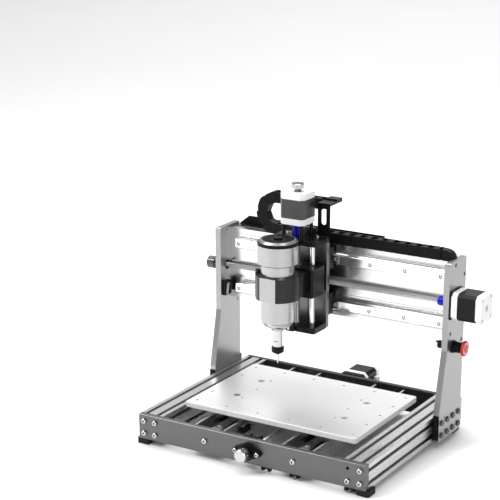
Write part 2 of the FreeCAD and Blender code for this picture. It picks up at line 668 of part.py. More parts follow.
def estop_head():
    # Flat mushroom head with a ring groove and three thumb marks on its face.
    prof = [(8.8, 0), (HEAD_R - 0.5, 0), (HEAD_R, 0.6), (HEAD_R, 2.6), (11.6, 3.7), (9.8, 4.2), (9.3, 3.5),
            (6.8, 3.5), (6.3, 4.3), (0, 4.5), (0, 1.4), (8.8, 1.4)]
    wire = Part.makePolygon([V(a, 0, b) for a, b in prof] + [V(prof[0][0], 0, prof[0][1])])
    head = Part.Face(wire).revolve(V(0, 0, 0), Z, 360)
    head = head.cut(cyl(4.0 + FIT, 1.1, (0, 0, 1.3), Z))
    for a in (0, 120, 240):
        mark = box(2.4, 5.2, -0.6, 0.6, 3.9, 6.0)
        mark.rotate(V(0, 0, 0), Z, a)
        head = head.cut(mark)
    return flip_place(head, (ESTOP_FACE + HEAD_X, ESTOP_Y, ESTOP_Z), "+x")


def x_limit_switch():
    s = box(-HALF, -HALF + 5.6, 241.0, 259.5, 176.8, 199.6)
    for z in (182.0, 194.0):
        s = s.cut(cyl(1.3, 9, (-HALF - 2, 254.5, z), X))
    return s


def x_limit_lever():
    # Thin spring lever hinged near the lower end of the switch, its free end standing off.
    x0 = -HALF + 6.0
    a = xz_prism([(x0, 179.5), (x0 + 0.4, 179.5), (x0 + 2.9, 198.0), (x0 + 2.5, 198.0)], 243.0, 249.0)
    return a.fuse(cyl(0.7, 6.0, (x0 + 0.5, 243.0, 179.5), Y)).removeSplitter()


def y_limit_switch():
    # Switch on the inner wall of the left support channel.
    x0 = -RAIL_Y_X + SUP_W / 2
    s = box(x0, x0 + 6.4, 58.0, 78.0, 28.0, 38.0)
    for y in (63.2, 72.8):
        s = s.cut(cyl(1.3, 9, (x0 - 1, y, 31.0), X))
    return s


def y_limit_lever():
    x0 = -RAIL_Y_X + SUP_W / 2 + 0.4
    a = yz_prism([(59.5, 38.6), (59.5, 39.0), (77.5, 41.5), (77.5, 41.1)], x0, x0 + 5.6)
    return a.fuse(cyl(0.7, 5.6, (x0, 59.5, 39.1), X)).removeSplitter()


def z_limit_switch():
    s = box(CX0 + 3.0, CX0 + 23.0, 215.5, 225.5, ZMB0 - 6.4, ZMB0)
    for x in (8.2, 17.8):
        s = s.cut(cyl(1.3, 9, (CX0 + x, 222.5, ZMB0 - 7), Z))
    return s


def z_limit_lever():
    z0 = ZMB0 - 6.4 - 0.5
    x0 = CX0 + 4.0
    a = xz_prism([(x0, z0), (x0, z0 - 0.4), (x0 + 18.0, z0 - 2.5), (x0 + 18.0, z0 - 2.1)], 217.0, 224.0)
    return a.fuse(cyl(0.7, 7.0, (CX0 + 4.0, 217.0, z0 - 0.4), Y)).removeSplitter()


# ---------------------------------------------------------------- cable chain
CHAIN_Y1 = CHAIN_Y0 + CHAIN_W
CHAIN_ZC = CHAIN_Z0 + CHAIN_H / 2 + CHAIN_R
CHAIN_Z1 = CHAIN_ZC + CHAIN_R - CHAIN_H / 2      # underside of the upper run
CHAIN_PITCH = 20.0
CHAIN_LOW_X1 = 180.6                 # fixed end of the lower run
CHAIN_HIGH_X1 = -23.5                # carriage end of the upper run
BRACKET_Z0, BRACKET_SCREW_Z = 288.0, 293.5


def straight_link(x0, x1, z0):
    z1 = z0 + CHAIN_H
    link = box(x0, x1, CHAIN_Y0, CHAIN_Y1, z0, z1)
    link = round_edges(link, 1.2, lambda e: is_line_along(e, Y))
    link = link.cut(box(x0 - 1, x1 + 1, CHAIN_Y0 + 2.0, CHAIN_Y1 - 2.0, z0 + 2.4, z1 - 2.4))
    mid = (x0 + x1) / 2
    for za, zb in ((z0 - 1, z0 + 2.6), (z1 - 2.6, z1 + 1)):
        link = link.cut(box(x0 - 1, mid - 4.5, CHAIN_Y0 + 2.0, CHAIN_Y1 - 2.0, za, zb))
        link = link.cut(box(mid + 4.5, x1 + 1, CHAIN_Y0 + 2.0, CHAIN_Y1 - 2.0, za, zb))
    for s in (-1, 1):
        link = link.cut(cyl(1.6, 0.5, (mid + s * 6.0, CHAIN_Y0, z0 + CHAIN_H / 2), Y))
    return link


def chain_run(x0, x1, z0):
    n = int(round((x1 - x0) / CHAIN_PITCH))
    step = (x1 - x0) / n
    return group([straight_link(x0 + k * step + 0.25, x0 + (k + 1) * step - 0.25, z0) for k in range(n)])


def bend_quarter(a0, a1, count):
    # Links on the bend, angles in degrees from -Z around the bend centre towards -X.
    r0, r1 = CHAIN_R - CHAIN_H / 2, CHAIN_R + CHAIN_H / 2
    links = []
    step = (a1 - a0) / count
    for k in range(count):
        lo, hi = a0 + k * step + 0.5, a0 + (k + 1) * step - 0.5
        outer = [(r1 - 1.8, lo), (r1 - 0.1, lo + 0.3 * step), (r1 + 1.0, hi - 0.25 * step), (r1 + 0.8, hi)]
        pts = []
        for r, a in outer + [(r0, hi), (r0, lo)]:
            t = math.radians(a)
            pts.append((CHAIN_BEND_X - r * math.sin(t), CHAIN_ZC - r * math.cos(t)))
        link = xz_prism(pts, CHAIN_Y0, CHAIN_Y1)
        hollow = []
        for r, angles in ((r1 - 2.4, (lo - 2, hi + 2)), (r0 + 2.4, (hi + 2, lo - 2))):
            for a in angles:
                t = math.radians(a)
                hollow.append((CHAIN_BEND_X - r * math.sin(t), CHAIN_ZC - r * math.cos(t)))
        link = link.cut(xz_prism(hollow, CHAIN_Y0 + 2.0, CHAIN_Y1 - 2.0))
        links.append(link)
    return group(links)


def chain_guide():
    # Sheet wall along the rear edge of the beam top; its left end is cut at a slope.
    y0 = BEAM_Y0 + BEAM_D - 2.0
    pts = [(-197.0, BEAM_Z1), (68.5, BEAM_Z1), (68.5, 301.0), (-180.0, 301.0), (-197.0, BEAM_Z1 + 1.5)]
    wall = xz_prism(pts, y0, y0 + 1.5)
    foot = box(-190.0, 68.5, y0 - 9.0, y0 + 1.5, BEAM_Z1, BEAM_Z1 + 1.2)
    foot = foot.cut(box(-190.0, 68.5, 0, y0 - 9.0, BEAM_Z1, BEAM_Z1 + 2))
    return wall.fuse(foot).removeSplitter()


def chain_end_fixed():
    # Fixed end piece: last link turned down over the right upright, with its foot on the beam.
    pts = [(180.9, CHAIN_Z0 - 0.3), (181.0, CHAIN_Z0 + CHAIN_H), (189.5, CHAIN_Z0 + CHAIN_H - 0.6),
           (196.0, CHAIN_Z0 + 13.6), (200.5, CHAIN_Z0 + 8.0), (201.5, UP_TOP + 0.3),
           (196.9, UP_TOP + 0.3), (196.9, CHAIN_Z0 - 0.3)]
    end = xz_prism(pts, CHAIN_Y0 + 1.5, CHAIN_Y1 - 1.0)
    end = end.cut(box(170, 196, CHAIN_Y0 + 3.5, CHAIN_Y1 - 3.0, CHAIN_Z0 + 2.2, CHAIN_Z0 + CHAIN_H - 3.0))
    return end


BRACKET_X0, BRACKET_X1 = CAR_X + 19.0, CAR_X + 40.5
BRACKET_ARM_Z0, BRACKET_ARM_Z1 = 351.6, 355.2
SLOT_Z0, SLOT_Z1 = 325.5, 346.5


def chain_bracket():
    # Slotted sheet on the back of the carriage with an arm to the rear that carries the moving chain end.
    x0, x1 = BRACKET_X0, BRACKET_X1
    sheet = box(x0, x1, CAR_Y1, CAR_Y1 + 1.6, BRACKET_Z0, BRACKET_ARM_Z1)
    slot = box(x0 + 6.3, x1 - 6.3, CAR_Y1 - 1, CAR_Y1 + 3, SLOT_Z0, SLOT_Z1)
    slot = slot.fuse(cyl((x1 - x0) / 2 - 6.3, 4, ((x0 + x1) / 2, CAR_Y1 - 1, SLOT_Z0), Y))
    sheet = sheet.cut(slot)
    for x in (x0 + 5, x1 - 5):
        sheet = sheet.cut(cyl(1.7, 4, (x, CAR_Y1 - 1, BRACKET_SCREW_Z), Y))
    arm = box(x0, x1, CAR_Y1, CHAIN_Y0, BRACKET_ARM_Z0, BRACKET_ARM_Z1)
    return sheet.fuse(arm).removeSplitter()


def chain_end_moving():
    # End piece with a sloping underside; its thin end stands out to the right.
    x1 = BRACKET_X1
    pts = [(CHAIN_HIGH_X1 + 0.2, CHAIN_Z1 + 1.0), (x1, BRACKET_ARM_Z0), (x1, CHAIN_Z1 + CHAIN_H + 2.5),
           (CHAIN_HIGH_X1 + 5.0, CHAIN_Z1 + CHAIN_H + 2.5), (CHAIN_HIGH_X1 + 0.2, CHAIN_Z1 + CHAIN_H)]
    end = xz_prism(pts, CHAIN_Y0, CHAIN_Y1)
    inner_top = CHAIN_Z1 + CHAIN_H - 2.4
    hollow = [(CHAIN_HIGH_X1 - 1.0, CHAIN_Z1 + 4.0), (CHAIN_HIGH_X1 + 13.0, CHAIN_Z1 + 11.0),
              (CHAIN_HIGH_X1 + 13.0, inner_top), (CHAIN_HIGH_X1 - 1.0, inner_top)]
    return end.cut(xz_prism(hollow, CHAIN_Y0 + 2.0, CHAIN_Y1 - 2.0))


# ---------------------------------------------------------------- bed
HOLE_X = [-137.3 + 54.92 * i for i in range(6)]
HOLE_Y = [72.0 + 43.6 * j for j in range(5)]
BLOCK_Y = (122.0, 195.0)
BED_SCREW_X = 95.5


def bed_plate():
    z0 = BED_Z1 - BED_T
    bed = box(-BED_W / 2, BED_W / 2, BED_Y0, BED_Y0 + BED_D, z0, BED_Z1)
    corners = [e for e in bed.Edges if is_line_along(e, Z)]
    bed = bed.makeChamfer(3.0, corners)
    bed = bed.makeChamfer(0.5, bed.Edges)
    holes = []
    for i, x in enumerate(HOLE_X):
        for j, y in enumerate(HOLE_Y):
            if i in (0, 5) or j in (0, 4):
                holes.append(cyl(2.3, BED_T + 2, (x, y, z0 - 1), Z))
    for x in (-82.5, 82.5):
        for y in (116.0, 159.2, 202.6):
            holes.append(cyl(2.3, BED_T + 2, (x, y, z0 - 1), Z))
    for x in (-BED_SCREW_X, BED_SCREW_X):
        for y in BLOCK_Y:
            holes.append(cyl(2.5, BED_T + 2, (x, y, z0 - 1), Z))
            holes.append(cyl(5.6, 4.0, (x, y, BED_Z1 - 3.4), Z))
    return bed.cut(holes)


def bed_screws():
    screws = []
    for x in (-BED_SCREW_X, BED_SCREW_X):
        for y in BLOCK_Y:
            s = cyl(5.1, 3.2, (x, y, BED_Z1 - 3.4), Z).cut(hexagon(2.3, 2.2, (x, y, BED_Z1 - 2.2), Z))
            screws.append(s.fuse(cyl(2.3, 9.0, (x, y, BED_Z1 - 12.4), Z)).removeSplitter())
    return group(screws)


# Clearance outline of a block around its rail (across, up from the rail base), 0.3 mm outside the rail.
RAIL_CAVITY = [(-7.8, -0.5), (7.8, -0.5), (7.8, 4.1), (5.9, 6.1), (5.9, 8.9), (7.8, 10.9), (7.8, 14.2),
               (6.7, 15.3), (-6.7, 15.3), (-7.8, 14.2), (-7.8, 10.9), (-5.9, 8.9), (-5.9, 6.1), (-7.8, 4.1)]


def bed_blocks():
    # Flanged bearing blocks, end caps marked by a shallow groove.
    blocks = []
    z1 = BED_Z1 - BED_T
    for side in (-1, 1):
        cx = side * RAIL_Y_X
        for yc in BLOCK_Y:
            b = box(cx - 17, cx + 17, yc - 26, yc + 26, SUP_FLOOR + 4.3, z1)
            b = b.fuse(box(cx - 23.3, cx + 23.3, yc - 19, yc + 19, z1 - 8.5, z1)).removeSplitter()
            b = b.cut(xz_prism([(cx + a, SUP_FLOOR + c) for a, c in RAIL_CAVITY], yc - 27, yc + 27))
            for y in (yc - 20.5, yc + 20.5):
                groove = box(cx - 18, cx + 18, y - 0.4, y + 0.4, SUP_FLOOR, z1)
                b = b.cut(groove.cut(box(cx - 16.4, cx + 16.4, y - 1, y + 1, SUP_FLOOR, z1)))
            b = b.cut(cyl(2.4, 8, (side * BED_SCREW_X, yc, z1 - 7), Z))
            blocks.append(b)
    return group(blocks)


def y_nut_bracket():
    # Bracket under the bed with a side arm that trips the limit switch.
    z1 = BED_Z1 - BED_T
    b = box(-11.5, 11.5, 148.0, 166.0, 17.5, z1)
    b = b.fuse(box(-47.0, 16.0, 148.0, 166.0, z1 - 6.0, z1)).removeSplitter()
    return b.cut(cyl(5.3, 20, (0, 147, YSCREW_Z), Y))


def y_nut():
    n = cyl(5.3, 18.0, (0, 148.0, YSCREW_Z), Y)
    n = n.fuse(cyl(10.5, 3.4, (0, 144.6, YSCREW_Z), Y))
    return n.cut(cyl(SCREW_R + FIT, 30, (0, 140, YSCREW_Z), Y)).removeSplitter()


# ---------------------------------------------------------------- X carriage with the Z unit
CX0, CX1 = CAR_X - CAR_W / 2, CAR_X + CAR_W / 2
ZB0, ZB1 = 158.0, 166.0      # bottom plate
ZMB0, ZMB1 = 297.0, 304.0    # top plate over the rods
POST_R, POST_D = 2.8, 15.5   # four posts between the top plate and the motor
BLOCK_SCREW_X, BLOCK_SCREW_Z = 14.4, 13.0    # screws into the rail blocks


def block_screw_spots():
    spots = []
    for z in RAIL_Z:
        for dx in (-BLOCK_SCREW_X, BLOCK_SCREW_X):
            for dz in (-BLOCK_SCREW_Z, BLOCK_SCREW_Z):
                spots.append((CAR_X + dx, z + dz))
    return spots


def carriage_plate():
    # Back plate with a narrower tab that rises between the rear posts of the motor.
    p = box(CX0, CX1, CAR_Y0, CAR_Y1, ZB0, ZMB1)
    p = p.makeChamfer(0.5, [e for e in p.Edges if is_line_along(e, Z)])
    p = p.fuse(box(CAR_X - 17.5, CAR_X + 17.5, CAR_Y0, CAR_Y1, ZMB1 - 5.0, ZMB1 + 12.0)).removeSplitter()
    for x, z in block_screw_spots():
        p = p.cut(cyl(2.3, 12, (x, CAR_Y0 - 1, z), Y))
        p = p.cut(cyl(4.1, 4.5, (x, CAR_Y0, z), Y))
    for x in (BRACKET_X0 + 5, BRACKET_X1 - 5):
        p = p.cut(cyl(1.6, 12, (x, CAR_Y0 - 1, BRACKET_SCREW_Z), Y))
    return p


def carriage_screws():
    screws = []
    y = CAR_Y0 + 4.5
    for x, z in block_screw_spots():
        s = cyl(3.9, 4.0, (x, y - 4.0, z), Y)
        s = s.cut(hexagon(1.9, 2.2, (x, y - 4.1, z), Y))
        screws.append(s.fuse(cyl(2.0, 8.0, (x, y, z), Y)).removeSplitter())
    return group(screws)


def carriage_blocks():
    blocks = []
    for z in RAIL_Z:
        b = box(CAR_X - 35, CAR_X + 35, CAR_Y1, BEAM_Y0 - 4.3, z - 17, z + 17)
        b = b.cut(yz_prism([(BEAM_Y0 - c, z + a) for a, c in RAIL_CAVITY], CAR_X - 36, CAR_X + 36))
        for x in (CAR_X - 27, CAR_X + 27):
            groove = box(x - 0.4, x + 0.4, CAR_Y1, BEAM_Y0, z - 18, z + 18).cut(
                box(x - 1, x + 1, CAR_Y1, BEAM_Y0, z - 16.4, z + 16.4))
            b = b.cut(groove)
        for dx in (-BLOCK_SCREW_X, BLOCK_SCREW_X):
            for dz in (-BLOCK_SCREW_Z, BLOCK_SCREW_Z):
                b = b.cut(cyl(2.05, 9, (CAR_X + dx, CAR_Y1 - 1, z + dz), Y))
        blocks.append(b)
    return group(blocks)


def x_nut_bracket():
    b = box(CAR_X - 12, CAR_X + 12, CAR_Y1, 265.4, 213.5, 241.0)
    b = b.cut(cyl(5.3, 30, (CAR_X - 15, SCREW_Y, SCREW_Z), X))
    return b


def x_nut():
    n = cyl(5.3, 24.0, (CAR_X - 12, SCREW_Y, SCREW_Z), X)
    flange = cyl(10.0, 3.4, (CAR_X + 12, SCREW_Y, SCREW_Z), X)
    flange = flange.common(box(CAR_X, CAR_X + 30, 240, 265.4, 200, 250))
    n = n.fuse(flange)
    return n.cut(cyl(SCREW_R + FIT, 50, (CAR_X - 20, SCREW_Y, SCREW_Z), X)).removeSplitter()


UNIT_Y0 = 192.0


def z_bottom_plate():
    p = box(CX0, CX1, UNIT_Y0, CAR_Y0, ZB0 - 1.0, ZB1)
    p = round_edges(p, 4.0, lambda e: is_line_along(e, Z) and e.CenterOfMass.y < UNIT_Y0 + 1)
    for s in (-1, 1):
        p = p.cut(cyl(ROD_R, 7.0, (CAR_X + s * ROD_X, ZAX_Y, ZB1 - 6.0), Z))
    p = p.cut(cyl(SCREW_R + FIT, 12, (CAR_X, ZAX_Y, ZB0 - 2), Z))
    return p


def z_top_plate():
    # Plate over the rods and the screw.
    p = box(CX0, CX1, UNIT_Y0, CAR_Y0, ZMB0, ZMB1)
    p = round_edges(p, 4.0, lambda e: is_line_along(e, Z) and e.CenterOfMass.y < UNIT_Y0 + 1)
    for s in (-1, 1):
        p = p.cut(cyl(ROD_R, 9.0, (CAR_X + s * ROD_X, ZAX_Y, ZMB0 - 1), Z))
        p = p.cut(cyl(1.7, 9.0, (CAR_X + s * TOP_SCREW_X, TOP_SCREW_Y, ZMB0 - 1), Z))
    return p.cut(cyl(SCREW_R + FIT, 9, (CAR_X, ZAX_Y, ZMB0 - 1), Z))


def z_motor_posts():
    posts = []
    for sx in (-1, 1):
        for sy in (-1, 1):
            posts.append(cyl(POST_R, ZM0 - ZMB1, (CAR_X + sx * POST_D, ZAX_Y + sy * POST_D, ZMB1), Z))
    return posts


TOP_SCREW_X, TOP_SCREW_Y = 27.0, 226.0


def z_top_screws():
    # Small bright screws on the top plate beside the rear posts.
    screws = []
    for s in (-1, 1):
        seat = (CAR_X + s * TOP_SCREW_X, TOP_SCREW_Y, ZMB1)
        screws.append(cap_screw(seat, Z, 2.4, 1.8, 1.6, 6.5))
    return group(screws)


def z_end_clip():
    # Small black holder with a screw in the middle of the bottom plate's front edge.
    c = box(CAR_X - 7.8, CAR_X + 7.8, UNIT_Y0 - 5.0, UNIT_Y0, ZB0 - 0.5, ZB1 + 3.5)
    c = round_edges(c, 2.5, lambda e: is_line_along(e, Y))
    return c.cut(cyl(2.3, 3.0, (CAR_X - 2.5, UNIT_Y0 - 5.0, 162.0), Y))


def z_end_screw():
    s = cyl(2.2, 3.4, (CAR_X - 2.5, UNIT_Y0 - 5.4, 162.0), Y)
    return s.cut(hexagon(1.1, 1.2, (CAR_X - 2.5, UNIT_Y0 - 5.5, 162.0), Y))


def z_rods():
    rods = []
    for s in (-1, 1):
        rods.append(cyl(ROD_R, ZMB1 - (ZB1 - 6.0), (CAR_X + s * ROD_X, ZAX_Y, ZB1 - 6.0), Z))
    return group(rods)


# ---------------------------------------------------------------- Z carriage and spindle
SB0, SB1 = 216.5, 262.0
CL0, CL1 = 222.3, 259.4


def slide_block():
    b = box(CX0 + 1.0, CX1 - 1.0, 187.0, 226.5, SB0, SB1)
    b = round_edges(b, 3.0, lambda e: is_line_along(e, Z))
    b = b.cut(cyl(5.3, 60, (CAR_X, ZAX_Y, SB0 - 5), Z))
    for s in (-1, 1):
        b = b.cut(cyl(7.5, 60, (CAR_X + s * ROD_X, ZAX_Y, SB0 - 5), Z))
    return b


def rod_bushings():
    out_shapes = []
    for s in (-1, 1):
        b = cyl(7.5, SB1 - SB0 - 2.0, (CAR_X + s * ROD_X, ZAX_Y, SB0 + 1.0), Z)
        b = b.cut(cyl(ROD_R + FIT, 60, (CAR_X + s * ROD_X, ZAX_Y, SB0 - 5), Z))
        out_shapes.append(b)
    return group(out_shapes)


def z_nut():
    n = cyl(5.3, 20.0, (CAR_X, ZAX_Y, SB1 - 20.0), Z).fuse(cyl(10.0, 3.4, (CAR_X, ZAX_Y, SB1), Z))
    return n.cut(cyl(SCREW_R + FIT, 40, (CAR_X, ZAX_Y, SB1 - 25), Z)).removeSplitter()


NOSE_R = 26.0                # straight barrel of the spindle
NOSE_Z0, NOSE_Z1 = 174.5, 186.0    # lower end of the barrel and start of its rounding
CLAMP_R = 34.5
CLAMP_BOLT_X, CLAMP_BOLT_Z = CAR_X - 30.4, 237.0
EAR_SCREW_X, EAR_SCREW_Y = CAR_X - 31.2, SPIN_Y - 8.0
SHAFT_R, FLAT_D = 8.0, 6.1         # shaft radius; axis to wrench flat
NUT_R = 9.8


def spindle_clamp():
    # Round clamp with a flat front, joined to the slide block, split and bolted on the left.
    c = cyl(CLAMP_R, CL1 - CL0, (CAR_X, SPIN_Y, CL0), Z)
    c = c.fuse(box(CAR_X - 30, CAR_X + 30, SPIN_Y, 187.0, CL0, CL1))
    c = c.fuse(box(CAR_X - 35.0, CAR_X - 28, SPIN_Y - 9.5, SPIN_Y + 9.5, CL0, CL1))
    c = c.cut(box(CAR_X - 60, CAR_X + 60, 100, 119.3, CL0 - 1, CL1 + 1))
    c = c.cut(cyl(NOSE_R, 60, (CAR_X, SPIN_Y, CL0 - 5), Z))
    c = c.cut(box(CAR_X - 60, CAR_X - 15, SPIN_Y - 1.2, SPIN_Y + 1.2, CL0 - 1, CL1 + 1))
    c = c.cut(cyl(2.2, 30, (CLAMP_BOLT_X, SPIN_Y - 15, CLAMP_BOLT_Z), Y))
    c = c.cut(cyl(3.9, 8, (CLAMP_BOLT_X, SPIN_Y - 17.5, CLAMP_BOLT_Z), Y))
    c = c.cut(cyl(2.2, 10, (EAR_SCREW_X, EAR_SCREW_Y, CL1 - 9.5), Z))
    return c.removeSplitter()


def clamp_bolts():
    # One screw across the slit and one standing on top of the clamp.
    across = cap_screw((CLAMP_BOLT_X, SPIN_Y - 9.5, CLAMP_BOLT_Z), V(0, -1, 0), 3.6, 4.0, 2.0, 20.5)
    upright_one = cap_screw((EAR_SCREW_X, EAR_SCREW_Y, CL1), Z, 3.8, 5.6, 2.0, 9.0)
    return group([across, upright_one])


def spindle_nose():
    # Straight barrel through the clamp, rounded at its lower end, with a notched bearing nut below.
    prof = [(0, NOSE_Z0), (13.6, NOSE_Z0), (19.4, 177.4), (23.2, 180.9), (25.2, 184.0), (NOSE_R, NOSE_Z1),
            (NOSE_R, 277.0), (0, 277.0)]
    wire = Part.makePolygon([V(a, 0, b) for a, b in prof] + [V(prof[0][0], 0, prof[0][1])])
    n = Part.Face(wire).revolve(V(0, 0, 0), Z, 360)
    n = n.fuse(cyl(10.4, 4.6, (0, 0, NOSE_Z0 - 4.5), Z)).removeSplitter()
    for k in range(6):
        notch = box(9.0, 11.5, -1.5, 1.5, NOSE_Z0 - 5.0, NOSE_Z0 - 1.2)
        notch.rotate(V(0, 0, 0), Z, 60 * k + 15)
        n = n.cut(notch)
    n = n.cut(cyl(SHAFT_R + FIT, 35.0, (0, 0, 165.4), Z))
    n.translate(V(CAR_X, SPIN_Y, 0))
    return n


def spindle_can():
    c = cyl(31.2, 30.0, (0, 0, 277.0), Z)
    c = chamfer_rim(c, V(0, 0, 277.0), 1.2)
    c.translate(V(CAR_X, SPIN_Y, 0))
    return c


def spindle_ring():
    c = cyl(31.9, 5.2, (0, 0, 307.0), Z)
    c = chamfer_rim(c, V(0, 0, 312.2), 0.8)
    c.translate(V(CAR_X, SPIN_Y, 0))
    return c


def spindle_cap():
    # Pale top rim around a recessed dark vent disc.
    c = cone(30.4, 27.6, 3.0, (0, 0, 312.2), Z)
    c = c.cut(cyl(25.2, 2.4, (0, 0, 313.0), Z))
    c.translate(V(CAR_X, SPIN_Y, 0))
    return c


def spindle_vent():
    c = cyl(24.9, 1.8, (0, 0, 313.0), Z)
    for k in range(18):
        slot = box(12.5, 22.5, -1.1, 1.1, 313.8, 316.0)
        slot.rotate(V(0, 0, 0), Z, 20 * k)
        c = c.cut(slot)
    c = c.fuse(cyl(7.0, 2.6, (0, 0, 314.8), Z))
    c.translate(V(CAR_X, SPIN_Y, 0))
    return c


def spindle_shaft():
    s = cyl(SHAFT_R, 200.0 - 143.5, (0, 0, 143.5), Z)
    s = chamfer_rim(s, V(0, 0, 143.5), 0.6)
    for a, b in ((FLAT_D, 10.0), (-10.0, -FLAT_D)):
        s = s.cut(box(-SHAFT_R, SHAFT_R, a, b, 152.6, 162.4))
    s.translate(V(CAR_X, SPIN_Y, 0))
    return s


def collet_nut():
    # Round nut with six shallow wrench notches.
    n = cyl(NUT_R, 8.2, (0, 0, 135.3), Z)
    n = n.fuse(cone(8.4, NUT_R, 1.7, (0, 0, 133.6), Z)).removeSplitter()
    n = chamfer_rim(n, V(0, 0, 143.5), 0.8)
    for k in range(6):
        notch = box(9.2, 11.5, -1.8, 1.8, 133.0, 141.4)
        notch.rotate(V(0, 0, 0), Z, 60 * k + 10)
        n = n.cut(notch)
    n = n.cut(cyl(3.4, 20, (0, 0, 128.0), Z))
    n.translate(V(CAR_X, SPIN_Y, 0))
    return n


def collet():
    c = cyl(3.4, 12.6, (0, 0, 130.8), Z).cut(cyl(1.6, 20, (0, 0, 128.0), Z))
    for k in range(4):
        s = box(1.4, 3.6, -0.25, 0.25, 130.0, 140.0)
        s.rotate(V(0, 0, 0), Z, 90 * k + 45)
        c = c.cut(s)
    c.translate(V(CAR_X, SPIN_Y, 0))
    return c


def cutter():
    c = cyl(1.6, 24.0, (0, 0, 119.4), Z).fuse(cone(0.25, 1.6, 4.6, (0, 0, 114.8), Z)).removeSplitter()
    c.translate(V(CAR_X, SPIN_Y, 0))
    return c


# ---------------------------------------------------------------- write everything
def write_base():
    out("front_plate", front_plate())
    out("rear_plate", rear_plate())
    out("side_profiles", group([side_profile(-1), side_profile(1)]))
    out("support_channels", group([support_channel(-1), support_channel(1)]))
    out("bed_rails", group([bed_rail(-1), bed_rail(1)]))
    out("rail_screws", group([beam_rail_screws(), bed_rail_screws()]))
    out("rubber_feet", rubber_feet())
    out("black_trim", group([edge_clips(), edge_strips()]))
    out("plate_screws", group([plate_screws(), y_flange_screws()]))
    out("screw_bearings", group([y_bearing_flange(), y_thrust_block(), x_screw_bearing()]))
    out("motor_spacers", group([x_motor_spacer(), y_motor_spacer()]))
    x_origin, y_origin = (XM0, SCREW_Y, SCREW_Z), (0, YM0, YSCREW_Z)
    out("fixed_motor_bodies", group([motor_body(x_origin, "x"), motor_body(y_origin, "y")]))
    plugs = [motor_plug(x_origin, "x", (0, 1)), motor_plug(y_origin, "y", (1, 0))]
    out("fixed_motor_caps", group([motor_caps(x_origin, "x"), motor_caps(y_origin, "y")] + plugs))
    out("limit_switches", group([x_limit_switch(), y_limit_switch()]))


def write_gantry():
    out("upright_left", upright(-1))
    out("upright_right", upright(1))
    out("upright_screws", upright_screws())
    out("gantry_beam", gantry_beam())
    out("beam_rails", group([beam_rail(z) for z in RAIL_Z]))
    out("estop_housing", estop_housing())
    out("chain_guide", group([chain_guide(), chain_end_fixed()]))
    out("chain_run_low", chain_run(CHAIN_BEND_X, CHAIN_LOW_X1, CHAIN_Z0))


def write_moving():
    out("estop_plunger", estop_plunger())
    out("estop_head", estop_head())
    out("x_limit_lever", x_limit_lever())
    out("y_limit_lever", y_limit_lever())
    out("chain_bend_low", bend_quarter(0, 90, 2))
    out("chain_bend_high", bend_quarter(90, 180, 2))
    out("x_lead_screw", x_lead_screw())
    out("x_coupling", x_coupling())
    out("x_knob", x_knob())
    out("y_lead_screw", group([y_lead_screw(), y_coupling()]))
    out("y_knob", y_knob())
    out("bed_plate", bed_plate())
    out("bed_blocks", group([bed_blocks(), bed_screws()]))
    out("y_nut", group([y_nut_bracket(), y_nut()]))


def write_carriage():
    out("carriage_plate", carriage_plate())
    out("carriage_screws", group([carriage_screws(), z_top_screws(), z_end_screw()]))
    out("carriage_blocks", carriage_blocks())
    out("x_nut", group([x_nut_bracket(), x_nut()]))
    out("z_frame", group([z_bottom_plate(), z_top_plate(), z_end_clip()] + z_motor_posts()))
    out("z_rods", z_rods())
    origin = (CAR_X, ZAX_Y, ZM0)
    out("z_motor_body", motor_body(origin, "z"))
    out("z_motor_caps", group([motor_caps(origin, "z"), motor_plug(origin, "z", (0, 1))]))
    out("z_limit_switch", z_limit_switch())
    out("z_limit_lever", z_limit_lever())
    out("chain_bracket", group([chain_bracket(), chain_end_moving()]))
    out("chain_run_high", chain_run(CHAIN_BEND_X, CHAIN_HIGH_X1, CHAIN_Z1))
    out("z_lead_screw", z_lead_screw())
    out("z_coupling", z_coupling())
    out("z_knob", z_knob())
    out("slide_block", slide_block())
    out("z_bushings", group([rod_bushings(), z_nut()]))
    out("spindle_clamp", group([spindle_clamp(), clamp_bolts()]))
    out("spindle_nose", spindle_nose())
    out("spindle_can", group([spindle_can(), spindle_cap()]))
    out("spindle_ring", group([spindle_ring(), spindle_vent()]))
    out("spindle_shaft", spindle_shaft())
    out("collet_nut", group([collet_nut(), collet()]))
    out("cutter", cutter())


write_base()
write_gantry()
write_moving()
write_carriage()
print(len(NODES), "nodes")
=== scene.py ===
import math

import bpy
from mathutils import Euler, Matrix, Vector


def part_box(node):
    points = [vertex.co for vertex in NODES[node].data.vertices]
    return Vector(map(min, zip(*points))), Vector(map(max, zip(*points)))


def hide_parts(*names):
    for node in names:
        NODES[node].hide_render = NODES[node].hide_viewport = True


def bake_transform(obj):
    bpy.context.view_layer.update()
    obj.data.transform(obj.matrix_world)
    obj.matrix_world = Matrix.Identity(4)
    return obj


# A desktop CNC router: looks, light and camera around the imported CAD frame.
# Everything is in metres in the part's own frame: +X right, +Y rear, +Z up.

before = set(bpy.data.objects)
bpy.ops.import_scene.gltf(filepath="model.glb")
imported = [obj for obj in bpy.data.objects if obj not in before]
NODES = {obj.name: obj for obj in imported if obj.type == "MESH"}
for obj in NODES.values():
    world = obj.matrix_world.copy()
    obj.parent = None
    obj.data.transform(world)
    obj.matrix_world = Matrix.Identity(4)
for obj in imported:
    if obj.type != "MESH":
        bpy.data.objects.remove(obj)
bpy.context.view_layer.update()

MM = 0.001
AXES = "xyz"

# The Mix node has sockets for every data type; these are its colour ones.
MIX_FACTOR, MIX_A, MIX_B, MIX_RESULT = 0, 6, 7, 2

# The values that most of a noise texture falls between.
NOISE_LOW, NOISE_HIGH = 0.3, 0.7


